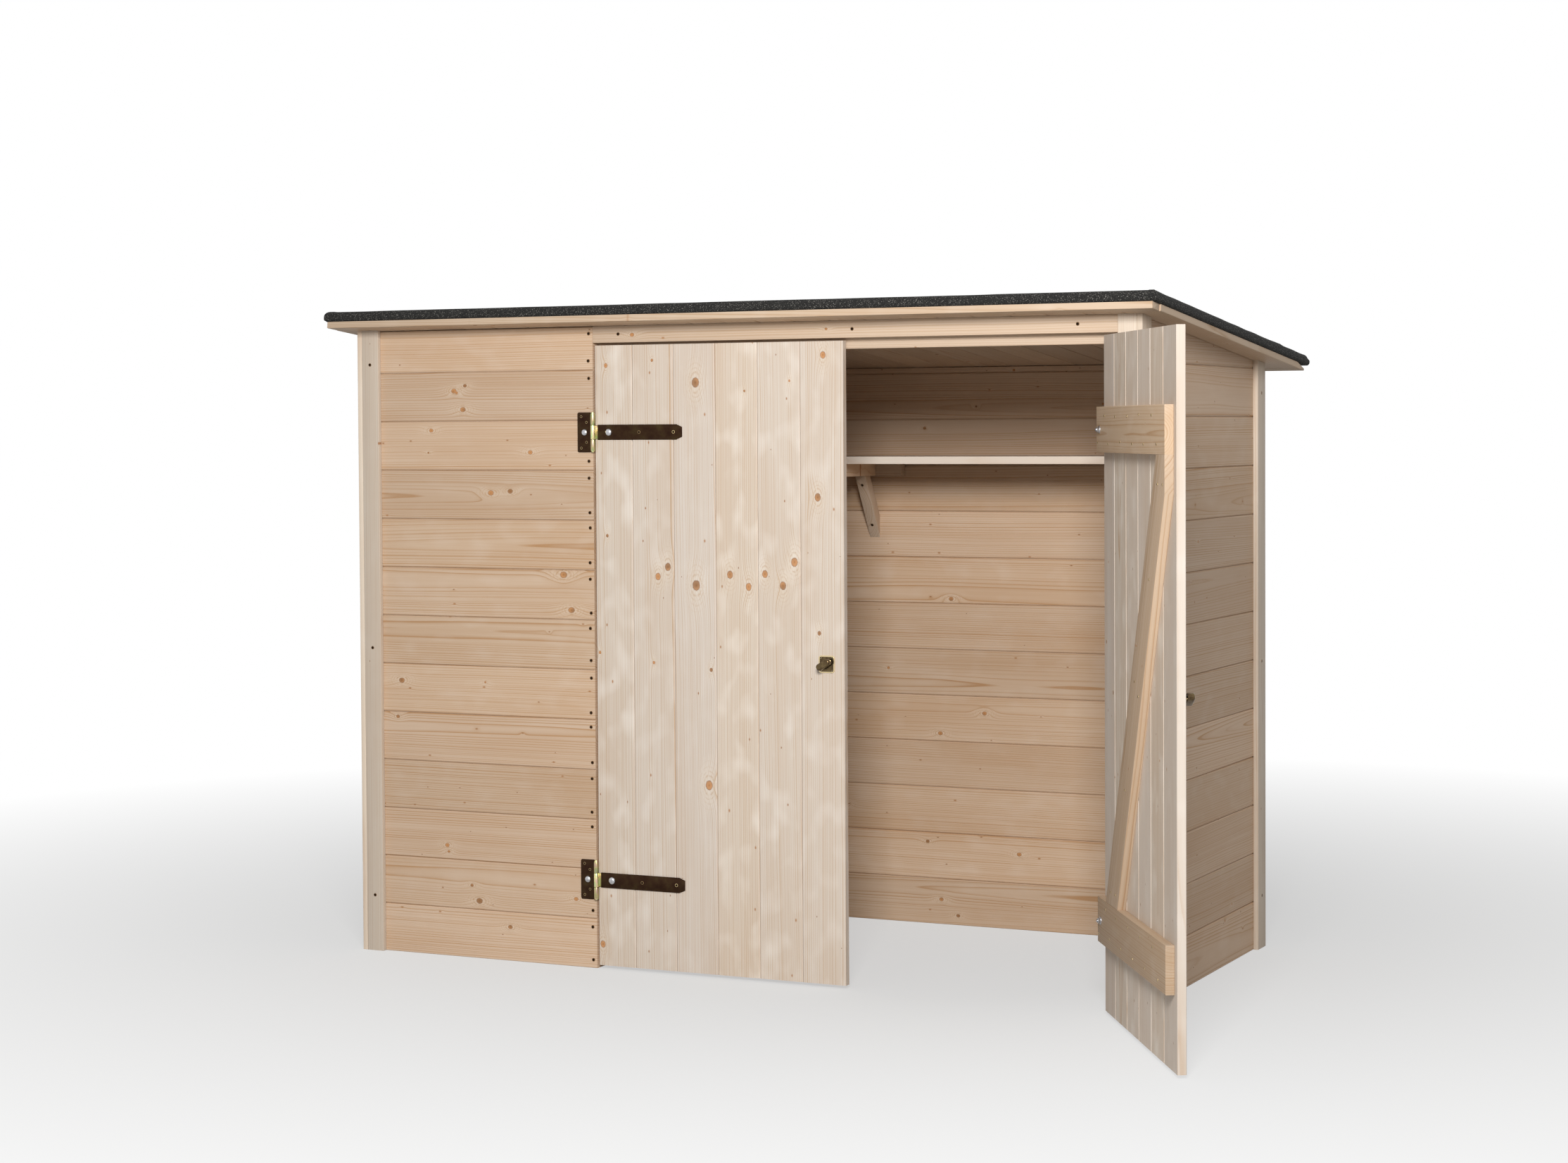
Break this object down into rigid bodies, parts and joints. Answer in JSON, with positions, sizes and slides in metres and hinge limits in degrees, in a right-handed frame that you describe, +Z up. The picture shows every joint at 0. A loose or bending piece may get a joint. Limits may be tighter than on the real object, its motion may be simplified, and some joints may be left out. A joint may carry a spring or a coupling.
{
  "type": "timber bike shelter with double doors",
  "caption": "Low closed timber shelter with a felted mono-pitch roof, a fixed front panel and a wide two-leaf ledged door, one leaf open, with a shelf inside on the back wall.",
  "frame": {"origin": "on the ground under the middle of the back wall, at the middle of its thickness", "axes": "+X to the right along the front, +Y from the front to the back, +Z up"},
  "size_m": [2.2491, 1.6178, 1.4997],
  "materials": {
    "wall_wood": "planed raw softwood",
    "trim_wood": "planed raw softwood",
    "door_wood": "planed raw softwood",
    "ledge_wood": "planed raw softwood",
    "frame_wood": "planed raw softwood",
    "roofing_felt": "anthracite mineral granules",
    "bronzed_steel": "dark bronze coating",
    "zinc_brass": "yellow passivated zinc"
  },
  "bodies": {
    "shelter": {"front_panel": "wall_wood", "wall_left": "wall_wood", "wall_right": "wall_wood", "wall_back": "wall_wood", "jamb_board_right": "trim_wood", "post_front_left": "frame_wood", "post_jamb_left": "frame_wood", "post_jamb_right": "frame_wood", "post_back_left": "frame_wood", "post_back_right": "frame_wood", "trim_front_left": "trim_wood", "trim_side_left_front": "trim_wood", "trim_side_right_front": "trim_wood", "trim_side_left_rear": "trim_wood", "trim_side_right_rear": "trim_wood", "trim_back_left": "trim_wood", "trim_back_right": "trim_wood", "lintel_beam": "frame_wood", "door_stop": "frame_wood", "roof_deck": "frame_wood", "roof_edge_front": "frame_wood", "roof_edge_rear": "frame_wood", "roof_felt": "roofing_felt", "roof_kerb": "roofing_felt", "shelf_board": "frame_wood", "shelf_arm": "frame_wood", "shelf_strut": "frame_wood", "shelf_cleats_back": "frame_wood", "shelf_cleats_side": "frame_wood", "hinge_plates_left": "bronzed_steel", "hinge_plates_right": "bronzed_steel"},
    "door_left": {"door_left_leaf": "door_wood", "door_left_ledge_lower": "ledge_wood", "door_left_ledge_upper": "ledge_wood", "door_left_brace": "ledge_wood", "door_left_hinge_straps": "bronzed_steel", "door_left_turn_knob": "zinc_brass"},
    "door_right": {"door_right_leaf": "door_wood", "door_right_ledge_lower": "ledge_wood", "door_right_ledge_upper": "ledge_wood", "door_right_brace": "ledge_wood", "door_right_hinge_straps": "bronzed_steel", "door_right_turn_knob": "zinc_brass"}
  },
  "joints": [
    {"name": "door_left_hinge", "type": "hinge", "parent": "shelter", "child": "door_left", "pos_m": [-0.3345, -0.8727, 0.7], "axis": [0, 0, -1], "range_deg": [0, 170]},
    {"name": "door_right_hinge", "type": "hinge", "parent": "shelter", "child": "door_right", "pos_m": [0.9055, -0.8727, 0.7], "axis": [0, 0, 1], "range_deg": [-122, 48]}
  ]
}
